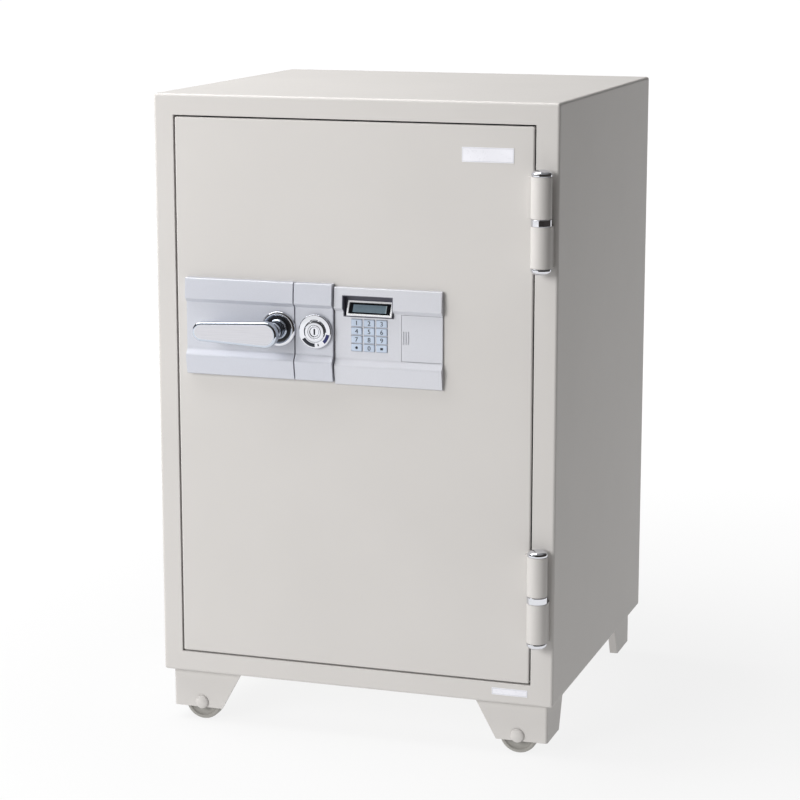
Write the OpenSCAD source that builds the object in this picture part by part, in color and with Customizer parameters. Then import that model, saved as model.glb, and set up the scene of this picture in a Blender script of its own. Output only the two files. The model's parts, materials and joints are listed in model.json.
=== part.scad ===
// Free-standing fire safe on four castor feet: a double-walled body filled with insulation,
// a flush hinged door with a stepped plug, bolt work, a lever, a key lock and a keypad lock.
// +X is the hinge side, the front faces -Y, the floor is Z = 0.

/* [Body] */
// Width of the body
body_w = 580; // [560:5:640]
// Depth of the body
body_d = 540; // [500:5:620]
// Height of the body without its feet
body_h = 830; // [810:5:1000]
// Height of the body's underside above the floor
clearance = 76; // [70:1:90]
// Thickness of the outer sheet steel
sheet = 2; // [1.5:0.5:3]
// Radius of the body's outer edges
edge_r = 4; // [4:0.5:8]
// Depth of the back wall
back_wall = 62; // [50:1:80]

/* [Door] */
// Frame margin on the lock side
margin_lock = 31; // [28:1:36]
// Frame margin on the hinge side
margin_hinge = 34; // [32:1:38]
// Frame margin above and below the door
margin_top = 31.5; // [28:0.5:40]
// Gap around the closed door
door_gap = 2; // [1.5:0.25:3]
// Thickness of the door's front plate
plate_d = 20; // [18:1:22]
// Depth of the whole door with its plug
plug_d = 100; // [95:1:120]
// Radius of the door's edges
door_r = 3; // [2:0.5:4]

/* [Hinges] */
// Distance of the hinge axis from the body's side
hinge_inset = 20; // [19:0.5:22]
// Distance of the hinge axis in front of the door
hinge_out = 14.5; // [14.5:0.5:17]
// Radius of the knuckles
knuckle_r = 14; // [12:0.5:14]
// Radius of the hinge pins
pin_r = 6; // [5:0.5:7]
// Running clearance round the hinge pins
pin_fit = 0.06; // [0.02:0.01:0.1]
// Height of the upper hinge's ring above the body's underside
hinge_high = 668.7; // [600:0.1:700]
// Height of the lower hinge's ring above the body's underside
hinge_low = 152.9; // [130:0.1:200]

/* [Lock panel] */
// Height of the panel's centre above the body's underside
panel_z = 508.5; // [480:0.5:520]
// Left end of the panel from the body's centre
panel_left = -242; // [-242:1:-230]
// Joint between the handle plate and the key plate
joint_1 = -81; // [-82:0.5:-80]
// Joint between the key plate and the keypad housing
joint_2 = -24.5; // [-25:0.5:-24]
// Right end of the panel
panel_right = 131; // [131:1:140]
// Height of the handle plate and the key plate
panel_h = 136; // [136:0.5:140]
// How far the plates' crests stand out from the door
crest = 14; // [13:0.5:15]
// How far the plates' middle stands out from the door
trough = 7.8; // [7:0.1:9]
// How far the keypad housing lies behind the plates
housing_drop = 4.8; // [4:0.1:5]

/* [Lever and bolts] */
// How far the lever's face stands out from the door
lever_out = 52; // [50:1:60]
// Thickness of the lever's paddle
lever_t = 14; // [12:1:16]
// Length of the lever from the spindle to its tip
lever_l = 112; // [100:1:116]
// Radius of the spindle
spindle_r = 8; // [7:0.5:8]
// Tooth module of the pinion and rack
tooth_m = 2; // [2:0.5:2]
// Number of teeth on the pinion
teeth = 18; // [18:1:20]
// Radius of the locking bolts
bolt_r = 10; // [8:0.5:11]

/* [Keypad] */
// Width of one key
key_w = 15.5; // [14:0.5:16]
// Height of one key
key_h = 9.9; // [9:0.1:10]
// Distance between key columns
key_dx = 18.1; // [17.5:0.1:19]
// Distance between key rows
key_dz = 11.5; // [11.3:0.1:12]
// How far the keys stand above the housing
key_out = 1.6; // [1.4:0.1:2.5]
// Tilt of the display
tilt = 27; // [20:1:30]

/* [Feet] */
// Height of the feet
foot_h = 56.5; // [50:0.5:60]
// Inset of the feet from the body's sides
foot_inset = 10; // [8:1:14]
// Radius of the castor wheels
wheel_r = 27.5; // [25:0.5:30]
// Width of the castor wheels
wheel_w = 18; // [14:1:18]

/* [Hidden] */
$fn = 64;

paint = [0.84, 0.83, 0.80];
silver = [0.79, 0.80, 0.84];
chrome = [0.86, 0.87, 0.89];
steel = [0.62, 0.63, 0.65];
fireproof = [0.80, 0.78, 0.72];
black = [0.08, 0.08, 0.09];
key_blue = [0.72, 0.78, 0.88];

eps = 0.5; // overrun of a cut past the face it opens

// Row frame: the box round body and lever is centred on Y
front_y = (lever_out - body_d) / 2;
left_x = -body_w / 2;
right_x = body_w / 2;
base_z = clearance;
top_z = clearance + body_h;

// Rectangles seen from the front: [left, right, bottom, top]
function grow(r, e) = [r[0] - e, r[1] + e, r[2] - e, r[3] + e];
door = [left_x + margin_lock, right_x - margin_hinge, base_z + margin_top, top_z - margin_top];
opening = grow(door, door_gap);
step_w = 12;    // width of the frame's step
plug_swing = 14; // room for the plug to swing past the lock side of the frame
plug_side = 6;  // gap on the hinge side of the plug
plug_level = 5; // gap above and below the plug
lining = 21;    // the compartment is this much smaller than the throat all round
throat = grow(opening, -step_w);
plug = [throat[0] + plug_swing, throat[1] - plug_side, throat[2] + plug_level, throat[3] - plug_level];
inside = grow(throat, -lining);

step_d = plate_d + 2;      // depth of the frame's step
throat_d = plug_d + 4;     // depth of the frame's throat
liner_back = body_d - back_wall;
liner_t = 1.5;
cover_t = 1.5;

hinge_x = right_x - hinge_inset;
hinge_z = [base_z + hinge_high, base_z + hinge_low];
knuckle_l = 56;
ring_l = 9.8;

// Bolt work in the plug
work_d = 80;               // depth of the bolts' axes
cavity = [plug[0] + cover_t, 32, base_z + 130, base_z + 705];
cavity_d = 60;
bolt_z = [base_z + 190, base_z + 414, base_z + 640];
bolt_tip = plug[0] + 1;
bar_x = [-190, -172];
bolt_room = 24;            // depth of the bolts' pockets in the filling
keeper_w = 20;             // half the width of the keepers
dog_r = 9;                 // radius of the fixed bolts on the hinge side
dog_out = 11;              // how far the fixed bolts stand out of the plug
dog_in = 24;               // how deep they sit in it
dog_room = 14;             // depth of their pockets in the filling
dog_slot_d = [work_d - 16, work_d + 14]; // slots in the frame, longer where the dogs swing in
shank_gap = 1.5;           // clearance round the spindle
barrel_hole_r = 11.5;      // hole for the key lock's barrel
cable_hole_r = 3;
pitch_r = tooth_m * teeth / 2;
pressure = 20;

// Lock panel
lock_z = base_z + 511;
spindle_x = -104.4;
key_lock_x = -50;
key_lock_z = base_z + 510.2;
housing_z = base_z + panel_z - 3.5;
housing_trough = trough - housing_drop;
pocket = [-16, 129, base_z + 449, base_z + 564];
pocket_d = 20;
battery_x = 72;
battery_z = [housing_z - 31.5, housing_z + 33.3];
keys_x = 26.1;
keys_z = base_z + 507;
key_gap = 0.4;
board_d = 6;
board_t = 1.6;
display_x = [-5, 60];
display_z = base_z + 544.6;
display_h = 24;
display_hole = [-11.6, 61.5, base_z + 532.4, base_z + 562];

// Feet and castors
foot_x = right_x - foot_inset;
foot_y = 12;               // inset of the feet from the body's front and back
foot_t = 4;
foot_wide = [74, 105];     // width at the bottom and at the top
foot_deep = [65, 87];      // depth at the bottom and at the top
foot_z = [base_z - foot_h, base_z];
axle_x = right_x - 53;
rear_x = right_x - 13;     // outer face of the rear feet
rear_y = 15;               // their inset from the back
rear_wide = [103, 134];
rear_deep = [73, 98];
rear_axle_x = right_x - 83;
flange_w = 12;
axle_r = 4;
wheel_gap = 1.5;
tab_half = 13;             // half the width of the tab behind each wheel
tab_low = 9;               // how far it reaches below the axle

function around(middle, half) = [middle - half, middle + half];

// Box between two x values, two depths behind the front plane and two heights
module slab(x, d, z)
    translate([x[0], front_y + d[0], z[0]]) cube([x[1] - x[0], d[1] - d[0], z[1] - z[0]]);

module rect_slab(r, d) slab([r[0], r[1]], d, [r[2], r[3]]);

// Places a shape drawn in XY on the front plane, its Z axis pointing out of the door
module on_front(x, z, out = 0)
    translate([x, front_y - out, z]) rotate([90, 0, 0]) children();

// Turns a shape drawn along Z to lie along X
module along_x(x, d, z) translate([x, front_y + d, z]) rotate([0, 90, 0]) children();

module round_rect(w, h, r)
    union() {
        translate([r, 0]) square([w - 2 * r, h]);
        translate([0, r]) square([w, h - 2 * r]);
        for (x = [r, w - r], y = [r, h - r]) translate([x, y]) circle(r);
    }

// Box with rounded edges, the crossing of three rounded prisms
module soft_box(w, d, h, r)
    intersection() {
        linear_extrude(h) round_rect(w, d, r);
        translate([0, d, 0]) rotate([90, 0, 0]) linear_extrude(d) round_rect(w, h, r);
        rotate([90, 0, 90]) linear_extrude(w) round_rect(d, h, r);
    }

// ---------------------------------------------------------------- body

module outer_casing()
    color(paint) difference() {
        translate([left_x, front_y, base_z]) soft_box(body_w, body_d, body_h, edge_r);
        translate([left_x + sheet, front_y + sheet, base_z + sheet])
            soft_box(body_w - 2 * sheet, body_d - 2 * sheet, body_h - 2 * sheet, edge_r - sheet);
        rect_slab(opening, [-eps, sheet + eps]);
    }

module body_insulation()
    color(fireproof) difference() {
        translate([left_x + sheet, front_y + sheet, base_z + sheet])
            soft_box(body_w - 2 * sheet, body_d - 2 * sheet, body_h - 2 * sheet, edge_r - sheet);
        rect_slab(grow(opening, sheet), [0, step_d + sheet]);
        rect_slab(grow(throat, sheet), [0, throat_d + sheet]);
        rect_slab(grow(inside, liner_t), [0, liner_back]);
        for (z = bolt_z) {
            slab([throat[0] - bolt_room, throat[0]], around(work_d, keeper_w), around(z, keeper_w));
            slab([throat[1], throat[1] + dog_room], dog_slot_d, around(z, dog_r + 6));
        }
    }

module inner_liner()
    color(paint) difference() {
        rect_slab(grow(inside, liner_t), [throat_d + sheet, liner_back]);
        rect_slab(inside, [throat_d, liner_back - liner_t]);
    }

module front_frame()
    color(paint) difference() {
        union() {
            rect_slab(grow(opening, sheet), [sheet, step_d + sheet]);
            rect_slab(grow(throat, sheet), [step_d, throat_d + sheet]);
        }
        rect_slab(opening, [0, step_d]);
        rect_slab(throat, [0, throat_d]);
        rect_slab(inside, [0, throat_d + sheet + eps]);
        for (z = bolt_z) {
            along_x(throat[0] - sheet - eps, work_d, z) cylinder(h = sheet + 2 * eps, r = bolt_r + 1);
            slab([throat[1] - eps, throat[1] + sheet + eps], dog_slot_d, around(z, dog_r + 4));
        }
    }

// Heat-swelling strip on the step of the frame
module door_seal()
    color([0.25, 0.24, 0.23]) difference() {
        rect_slab(grow(throat, 9), [step_d - 1.5, step_d]);
        rect_slab(grow(throat, 2), [step_d - 1.5 - eps, step_d + eps]);
    }

keeper_t = 6;
keeper_x = throat[0] - sheet - keeper_t;

module bolt_keepers()
    color(steel) for (z = bolt_z) difference() {
        slab([keeper_x, keeper_x + keeper_t], around(work_d, keeper_w), around(z, keeper_w));
        along_x(keeper_x - eps, work_d, z) cylinder(h = keeper_t + 2 * eps, r = bolt_r + 1);
    }

shelf_gap = 2;
shelf_d = [132, liner_back - liner_t - 6];
shelf_lip = 18;
shelf_t = 1.5;
inside_h = inside[3] - inside[2];
shelf_z = [inside[2] + inside_h / 3, inside[2] + 2 * inside_h / 3];

module shelves()
    color(paint) for (z = shelf_z) difference() {
        slab([inside[0] + shelf_gap, inside[1] - shelf_gap], shelf_d, [z, z + shelf_lip]);
        slab([inside[0] - eps, inside[1] + eps], [shelf_d[0] + shelf_t, shelf_d[1] - shelf_t],
             [z + shelf_t, z + shelf_lip + eps]);
    }

shelf_pin_r = 3;
shelf_pin_l = 12;

module shelf_pins()
    color(steel) for (z = shelf_z, d = [shelf_d[0] + 40, shelf_d[1] - 40],
                      x = [inside[0], inside[1] - shelf_pin_l])
        along_x(x, d, z - shelf_pin_r) cylinder(h = shelf_pin_l, r = shelf_pin_r);

module rating_label()
    color("white") slab([203, 254], [-0.4, 0], [base_z + 12, base_z + 22]);

// ---------------------------------------------------------------- feet and castors

// Repeats a right-hand shape on both sides
module both_sides() for (side = [0, 1]) mirror([side, 0, 0]) children();

// Mirrors a shape from the front of the body to its back
module at_back()
    translate([0, front_y + body_d / 2, 0]) mirror([0, 1, 0]) translate([0, -front_y - body_d / 2, 0])
        children();

// Plate along X that carries a castor, narrower at the bottom, with the tab on the far side of the wheel
module castor_plate(x, inset, wide, axle) {
    tab_d = inset + foot_t + wheel_w + 2 * wheel_gap;
    difference() {
        union() {
            translate([x, front_y + inset + foot_t, 0]) rotate([90, 0, 0]) linear_extrude(foot_t)
                polygon([[0, foot_z[0]], [0, foot_z[1]], [-wide[1], foot_z[1]], [-wide[0], foot_z[0]]]);
            slab(around(axle, tab_half), [tab_d, tab_d + foot_t], [wheel_r - tab_low, foot_z[1]]);
        }
        on_front(axle, wheel_r, -tab_d - foot_t - eps)
            cylinder(h = tab_d + foot_t + 2 * eps, r = axle_r);
    }
}

// Side plate, shallower at the bottom, and the top plate against the body
module foot_sides(x, inset, wide, deep) {
    translate([x - foot_t, front_y + inset, 0]) rotate([90, 0, 90]) linear_extrude(foot_t)
        polygon([[0, foot_z[0]], [deep[0], foot_z[0]], [deep[1], foot_z[1]], [0, foot_z[1]]]);
    slab([x - wide[1], x], [inset, inset + deep[1]], [foot_z[1] - foot_t, foot_z[1]]);
}

// Return flange on the free edge of a rear side plate
module foot_flange(x, inset, deep)
    translate([x - flange_w, front_y + inset, 0]) rotate([90, 0, 90]) linear_extrude(flange_w)
        polygon([[deep[0] - foot_t, foot_z[0]], [deep[0], foot_z[0]], [deep[1], foot_z[1]],
                 [deep[1] - foot_t, foot_z[1]]]);

module feet()
    color(paint) both_sides() {
        castor_plate(foot_x, foot_y, foot_wide, axle_x);
        foot_sides(foot_x, foot_y, foot_wide, foot_deep);
        at_back() {
            castor_plate(rear_x, rear_y, rear_wide, rear_axle_x);
            foot_sides(rear_x, rear_y, rear_wide, rear_deep);
            foot_flange(rear_x, rear_y, rear_deep);
        }
    }

axle_head_r = 10;
dome_r = 11.8;             // ball that the axle's head is cut from
axle_l = 2 * foot_t + wheel_w + 2 * wheel_gap + 3;

// Shaft through the plate, the wheel and the tab, with a domed head cut from a ball
module axle(x, inset)
    on_front(x, wheel_r, -inset) {
        translate([0, 0, -axle_l]) cylinder(h = axle_l, r = axle_r);
        intersection() {
            translate([0, 0, -sqrt(dome_r * dome_r - axle_head_r * axle_head_r)]) sphere(dome_r);
            cylinder(h = dome_r, r = axle_head_r);
        }
    }

module castor_axles()
    color(paint) both_sides() {
        axle(axle_x, foot_y);
        at_back() axle(rear_axle_x, rear_y);
    }

// Castor wheel: tyre with rounded shoulders, dished on both sides
module wheel(x, inset)
    color([0.55, 0.56, 0.57]) on_front(x, wheel_r, -inset - foot_t - wheel_gap - wheel_w)
        rotate_extrude() polygon([
            [axle_r + pin_fit, 0], [9, 0], [10, 3], [wheel_r - 6, 3], [wheel_r - 5, 0], [wheel_r - 2, 0],
            [wheel_r, 3], [wheel_r, wheel_w - 3], [wheel_r - 2, wheel_w], [wheel_r - 5, wheel_w],
            [wheel_r - 6, wheel_w - 3], [10, wheel_w - 3], [9, wheel_w], [axle_r + pin_fit, wheel_w]]);

module wheel_front_right() wheel(axle_x, foot_y);
module wheel_front_left() mirror([1, 0, 0]) wheel(axle_x, foot_y);
module wheel_rear_right() at_back() wheel(rear_axle_x, rear_y);
module wheel_rear_left() mirror([1, 0, 0]) at_back() wheel(rear_axle_x, rear_y);

// ---------------------------------------------------------------- hinges

// Knuckle with its leaf; the leaf lies against the front plane between the x values
module knuckle(z, leaf_x, bore)
    difference() {
        union() {
            translate([hinge_x, front_y - hinge_out, z]) cylinder(h = knuckle_l, r = knuckle_r);
            slab(leaf_x, [-hinge_out, 0], [z, z + knuckle_l]);
        }
        translate([hinge_x, front_y - hinge_out, z - eps])
            cylinder(h = knuckle_l + 2 * eps, r = bore);
    }

module frame_knuckles()
    color(paint) for (z = hinge_z) knuckle(z - knuckle_l, [hinge_x, hinge_x + 13], pin_r);

module door_knuckles()
    color(paint) for (z = hinge_z) knuckle(z + ring_l, [hinge_x - 19, hinge_x - 13.5], pin_r + pin_fit);

// Domed cap of a hinge, standing on its flat face
module cap(r, h, rise)
    rotate_extrude() {
        square([r - 1, h]);
        translate([0, 1]) square([r, h - 1]);
        translate([r - 1, 1]) intersection() { circle(1); translate([0, -1]) square(1); }
        dome = (r * r + rise * rise) / (2 * rise);
        translate([0, h]) intersection() {
            translate([0, rise - dome]) circle(dome, $fn = 256);
            square([r, rise]);
        }
    }

module hinge_pins()
    color(chrome) for (z = hinge_z) translate([hinge_x, front_y - hinge_out, z - knuckle_l]) {
        cylinder(h = 2 * knuckle_l + ring_l - 2, r = pin_r);
        mirror([0, 0, 1]) cap(knuckle_r, 5.5, 4);
    }

module hinge_rings()
    color(chrome) for (z = hinge_z) translate([hinge_x, front_y - hinge_out, z])
        difference() {
            cylinder(h = ring_l - 0.2, r = knuckle_r);
            translate([0, 0, -eps]) cylinder(h = ring_l + 2 * eps, r = pin_r);
        }

module hinge_top_caps()
    color(chrome) for (z = hinge_z)
        translate([hinge_x, front_y - hinge_out, z + ring_l + knuckle_l]) cap(knuckle_r, 5.5, 4);

// ---------------------------------------------------------------- door

module door_skin()
    color(paint) difference() {
        intersection() {
            translate([door[0], front_y, door[2]])
                soft_box(door[1] - door[0], 3 * plate_d, door[3] - door[2], door_r);
            rect_slab(grow(door, eps), [-eps, plate_d]);
        }
        rect_slab(grow(door, -sheet), [sheet, plate_d - sheet]);
        rect_slab(plug, [plate_d - sheet - eps, plate_d + eps]);
        on_front(spindle_x, lock_z, -sheet - eps) cylinder(h = sheet + 2 * eps, r = spindle_r + shank_gap);
        on_front(key_lock_x, key_lock_z, -sheet - eps) cylinder(h = sheet + 2 * eps, r = barrel_hole_r);
        rect_slab(pocket, [-eps, sheet + eps]);
    }

module door_insulation()
    color(fireproof) difference() {
        union() {
            rect_slab(grow(door, -sheet), [sheet, plate_d - sheet]);
            rect_slab(grow(plug, -cover_t), [sheet, plug_d - cover_t]);
        }
        rect_slab(cavity, [cavity_d, plug_d]);
        rect_slab(pocket, [0, pocket_d]);
        on_front(spindle_x, lock_z, -cavity_d - eps) cylinder(h = cavity_d, r = spindle_r + shank_gap);
        on_front(key_lock_x, key_lock_z, -cavity_d - eps) cylinder(h = cavity_d, r = barrel_hole_r);
        // Duct for the lock's cable
        on_front(cable_x, cable_z, -cavity_d - eps) cylinder(h = cavity_d, r = cable_hole_r);
        for (z = bolt_z) along_x(plug[1] - dog_in, work_d, z) cylinder(h = dog_in + eps, r = dog_r);
    }

module door_back_cover()
    color(paint) difference() {
        rect_slab(plug, [plate_d - sheet, plug_d]);
        rect_slab(grow(plug, -cover_t), [0, plug_d - cover_t]);
        for (z = bolt_z) {
            along_x(plug[0] - eps, work_d, z) cylinder(h = cover_t + 2 * eps, r = bolt_r + 0.5);
            along_x(plug[1] - cover_t - eps, work_d, z) cylinder(h = cover_t + 2 * eps, r = dog_r);
        }
    }

screw_inset = 30;
screw_r = 4.5;
screw_h = 2.4;
cross_l = 7;
cross_w = 1.2;
screw_x = [plug[0] + screw_inset, (plug[0] + plug[1]) / 2, plug[1] - screw_inset];
screw_z = [plug[2] + screw_inset, plug[3] - screw_inset];

module cover_screws()
    color(steel) for (x = screw_x, z = screw_z)
        translate([x, front_y + plug_d, z]) rotate([-90, 0, 0]) difference() {
            cylinder(h = screw_h, r = screw_r);
            translate([-cross_w / 2, -cross_l / 2, screw_h / 2]) cube([cross_w, cross_l, screw_h]);
            translate([-cross_l / 2, -cross_w / 2, screw_h / 2]) cube([cross_l, cross_w, screw_h]);
        }

// Dogs on the hinge side that hold the closed door without the hinges
module fixed_bolts()
    color(steel) for (z = bolt_z)
        along_x(plug[1] - dog_in, work_d, z) cylinder(h = dog_in + dog_out, r = dog_r);

guide_l = 14;
guide_w = 16;   // half the width of the guides
slide_fit = 0.08; // running clearance round the bolts and the plunger

module bolt_guides()
    color(steel) for (z = bolt_z) difference() {
        slab([plug[0] + cover_t, plug[0] + cover_t + guide_l], around(work_d, guide_w), around(z, guide_w));
        along_x(plug[0], work_d, z) cylinder(h = cover_t + guide_l + eps, r = bolt_r + slide_fit);
    }

module door_label()
    color("white") slab([156, 228], [-0.5, 0], [base_z + 749, base_z + 769]);

// ---------------------------------------------------------------- lock panel

// Bar along X whose outline is a list of [distance out of the door, height] points
module profile_bar(x, outline)
    translate([x[0], front_y, 0]) rotate([90, 0, 90]) linear_extrude(x[1] - x[0])
        polygon([for (q = outline) [-q[0], q[1]]]);

// Outline of the panel: a lower and an upper band with a trough between them
function panel_outline(mid, high, low) = [
    [0, mid - panel_h / 2], [high - 4.5, mid - panel_h / 2], [high, mid - 41.3], [low, mid - 31.9],
    [low, mid + 33.7], [high, mid + 39.1], [high - 2, mid + panel_h / 2], [0, mid + panel_h / 2]];

plate_outline = panel_outline(base_z + panel_z, crest, trough);
housing_outline = panel_outline(housing_z, crest - housing_drop, housing_trough);
plate_gap = 0.8;

module handle_plate()
    color(silver) difference() {
        profile_bar([panel_left, joint_1 - plate_gap], plate_outline);
        on_front(spindle_x, lock_z, -eps) cylinder(h = crest + 2 * eps, r = spindle_r + shank_gap);
    }

module key_plate()
    color(silver) difference() {
        profile_bar([joint_1 + plate_gap, joint_2 - plate_gap], plate_outline);
        on_front(key_lock_x, key_lock_z, -eps) cylinder(h = crest + 2 * eps, r = barrel_hole_r);
    }

function key_at(col, row) = [keys_x + (col - 1) * key_dx, keys_z + (1.5 - row) * key_dz];

module keypad_housing()
    color(silver) difference() {
        profile_bar([joint_2 + plate_gap, panel_right], housing_outline);
        for (col = [0:2], row = [0:3])
            on_front(key_at(col, row)[0], key_at(col, row)[1], -eps)
                translate([-key_w / 2 - key_gap, -key_h / 2 - key_gap, 0])
                    cube([key_w + 2 * key_gap, key_h + 2 * key_gap, crest]);
        rect_slab(display_hole, [-crest, eps]);
        slab([battery_x, panel_right + eps], [-crest, eps], battery_z);
    }

module handle_rose()
    color(chrome) on_front(spindle_x, lock_z, trough)
        rotate_extrude() polygon([
            [spindle_r + pin_fit, 0], [25, 0], [25, 2], [23.5, 4.2], [20, 5], [18.5, 4.4], [17.5, 2.2],
            [spindle_r + pin_fit, 2.2]]);

key_fit = 0.07; // running clearance round the key plug

// Escutcheon and barrel of the key lock in one casting
module key_cylinder()
    color(chrome) on_front(key_lock_x, key_lock_z, 0) difference() {
        union() {
            translate([0, 0, trough]) rotate_extrude() polygon([
                [0, 0], [24, 0], [24, 3.6], [22.8, 5], [15.2, 5.4], [14.6, 6.8], [9.5, 7.4], [8.6, 7],
                [0, 7]]);
            translate([0, 0, -cavity_d]) cylinder(h = cavity_d + trough + 1, r = barrel_hole_r - 0.5);
        }
        translate([0, 0, -cavity_d - eps]) cylinder(h = cavity_d + 2 * crest, r = plug_r + key_fit);
    }

// ---------------------------------------------------------------- display and electronics

// Places a shape drawn in XY on the display's tilted face, its Z axis pointing at the reader
module on_display(out = 0)
    translate([(display_x[0] + display_x[1]) / 2, front_y - 4.2, display_z])
        rotate([90 - tilt, 0, 0]) translate([0, 0, out]) children();

display_w = display_x[1] - display_x[0];

module flat_box(w, h, z) translate([-w / 2, -h / 2, z[0]]) cube([w, h, z[1] - z[0]]);

module display_frame()
    color(chrome) on_display() difference() {
        flat_box(display_w, display_h, [-2, 1]);
        flat_box(display_w - 5, display_h - 5, [-3, 2]);
    }

module display_window()
    color([0.55, 0.65, 0.66, 0.5]) on_display() flat_box(display_w - 5, display_h - 5, [-0.8, 0.4]);

module display_body()
    color(black) on_display() flat_box(display_w - 5, display_h - 5, [-7, -0.8]);

cable_x = 20;
cable_z = base_z + 530;
cable_r = 2;

module circuit_board()
    color([0.10, 0.36, 0.20]) slab([-13, 66], [board_d, board_d + board_t], [base_z + 470, base_z + 534]);

cell_r = 7.1;
cell_l = 50.5;
cell_z = [for (i = [-1.5:1:1.5]) (battery_z[0] + battery_z[1]) / 2 + i * 15.2];

module battery_holder()
    color(black) difference() {
        slab([battery_x + 0.6, 128.5], [0.5, pocket_d], [battery_z[0] + 0.4, battery_z[1] - 0.4]);
        slab([battery_x + 2.4, 127], [0, pocket_d - 2], [battery_z[0] + 1.6, battery_z[1] - 1.6]);
    }

module batteries()
    color([0.20, 0.22, 0.26]) for (z = cell_z) along_x(battery_x + 3, pocket_d - 2.2 - cell_r, z) {
        cylinder(h = cell_l, r = cell_r);
        translate([0, 0, cell_l]) cylinder(h = 1, r = 2.6);
    }

rack_end = -65;            // right end of the rack's arm
solenoid_x = [-56, -16];
solenoid_z = base_z + 536;
plunger_r = 4;

module solenoid()
    color(steel) difference() {
        slab(solenoid_x, around(work_d, 11), around(solenoid_z, 11));
        along_x(solenoid_x[0] - eps, work_d, solenoid_z) cylinder(h = 30, r = plunger_r + slide_fit);
    }

module lock_cable()
    color([0.15, 0.15, 0.16]) {
        along_x(solenoid_x[1], work_d, cable_z) cylinder(h = cable_x - solenoid_x[1], r = cable_r);
        translate([cable_x, front_y + work_d, cable_z]) sphere(cable_r);
        on_front(cable_x, cable_z, -work_d) cylinder(h = work_d - board_d - board_t, r = cable_r);
    }

// ---------------------------------------------------------------- moving parts

paddle_r = [18, 13.5];     // radius of the paddle's root and tip
paddle_drop = 3;           // the paddle hangs this far below the spindle

module lever_handle()
    color(chrome) on_front(spindle_x, lock_z, 0) {
        hub_out = trough + 2.5;
        translate([0, 0, hub_out]) rotate_extrude() polygon([
            [0, 0], [16.4, 0], [16.4, 3], [14, 6], [12.5, 10], [11.5, lever_out - lever_t - hub_out + 1],
            [0, lever_out - lever_t - hub_out + 1]]);
        bevel = 3;
        hull() for (end = [[-5.6, paddle_r[0]], [-lever_l + paddle_r[1], paddle_r[1]]])
            translate([end[0], -paddle_drop, lever_out - lever_t]) {
                translate([0, 0, 0]) cylinder(h = lever_t - bevel, r = end[1]);
                cylinder(h = lever_t, r = end[1] - bevel);
            }
    }

// Involute gear outline with a little backlash, one tooth pointing along +Y
backlash = 0.25;
base_r = pitch_r * cos(pressure);
tip_r = pitch_r + 0.9 * tooth_m;
root_r = pitch_r - 1.25 * tooth_m;
function roll(r) = sqrt(max(0, pow(r / base_r, 2) - 1));
function involute(r) = roll(r) * 180 / PI - atan(roll(r));
half_tooth = 90 / teeth - backlash / 2 / pitch_r * 180 / PI;
function half_at(r) = half_tooth + involute(pitch_r) - involute(r);
flank_r = [root_r, base_r, base_r + (tip_r - base_r) * 0.35, base_r + (tip_r - base_r) * 0.7, tip_r];
function polar(r, a) = [r * sin(a), r * cos(a)];

module pinion_outline()
    polygon([for (i = [0:teeth - 1]) each concat(
        [for (r = flank_r) polar(r, i * 360 / teeth - half_at(r))],
        [for (j = [len(flank_r) - 1:-1:0]) polar(flank_r[j], i * 360 / teeth + half_at(flank_r[j]))])]);

pinion_w = 12;

module drive_spindle()
    color(steel) on_front(spindle_x, lock_z, 0) {
        translate([0, 0, -work_d - pinion_w / 2])
            cylinder(h = work_d + pinion_w / 2 + trough + 2.5, r = spindle_r);
        translate([0, 0, -work_d - pinion_w / 2]) linear_extrude(pinion_w) pinion_outline();
    }

// Rack outline, teeth pointing down to the pinion below it, x from the spindle
rack_pitch = PI * tooth_m;
rack_tip = 0.9 * tooth_m;
rack_root = 1.2 * tooth_m;
rack_half = rack_pitch / 4 - backlash / 2;
rack_teeth = [for (i = [-2:5]) (i + 0.5) * rack_pitch];

module rack_outline()
    union() {
        translate([bar_x[1] - spindle_x - 1, pitch_r + rack_root])
            square([rack_end - bar_x[1] + 1, 8]);
        for (x = rack_teeth) polygon([
            [x - rack_half - rack_root * tan(pressure), pitch_r + rack_root + 0.1],
            [x - rack_half + rack_tip * tan(pressure), pitch_r - rack_tip],
            [x + rack_half - rack_tip * tan(pressure), pitch_r - rack_tip],
            [x + rack_half + rack_root * tan(pressure), pitch_r + rack_root + 0.1]]);
    }

tail_r = 6;
bar_half = 7; // half the bar's thickness
bar_end = 22; // the bar runs this far past the outer bolts

module bolt_bar()
    color(steel) difference() {
        union() {
            slab(bar_x, around(work_d, bar_half), [bolt_z[0] - bar_end, bolt_z[2] + bar_end]);
            on_front(spindle_x, lock_z, -work_d - 5) linear_extrude(10) rack_outline();
        }
        for (z = bolt_z) along_x(bar_x[0] - eps, work_d, z)
            cylinder(h = bar_x[1] - bar_x[0] + 2 * eps, r = tail_r);
    }

bolt_l = bar_x[0] - bolt_tip;
tail_l = bar_x[1] - bar_x[0] + 3;

module bolts()
    color(chrome) for (z = bolt_z) {
        along_x(bolt_tip, work_d, z) rotate_extrude() polygon([
            [0, 0], [bolt_r - 1.5, 0], [bolt_r, 1.5], [bolt_r, bolt_l], [tail_r, bolt_l],
            [tail_r, bolt_l + tail_l], [0, bolt_l + tail_l]]);
    }

plug_r = 6.8;
slot_w = 2;
slot_h = 8;

module key_plug()
    color(chrome) on_front(key_lock_x, key_lock_z, 0) difference() {
        translate([0, 0, -cavity_d - 2]) cylinder(h = cavity_d + 2 + trough + 6.4, r = plug_r);
        translate([-slot_w / 2, -slot_h / 2, trough + 6.4 - 28]) cube([slot_w, slot_h, 30]);
    }

cam_l = 22;
cam_t = 4;

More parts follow.
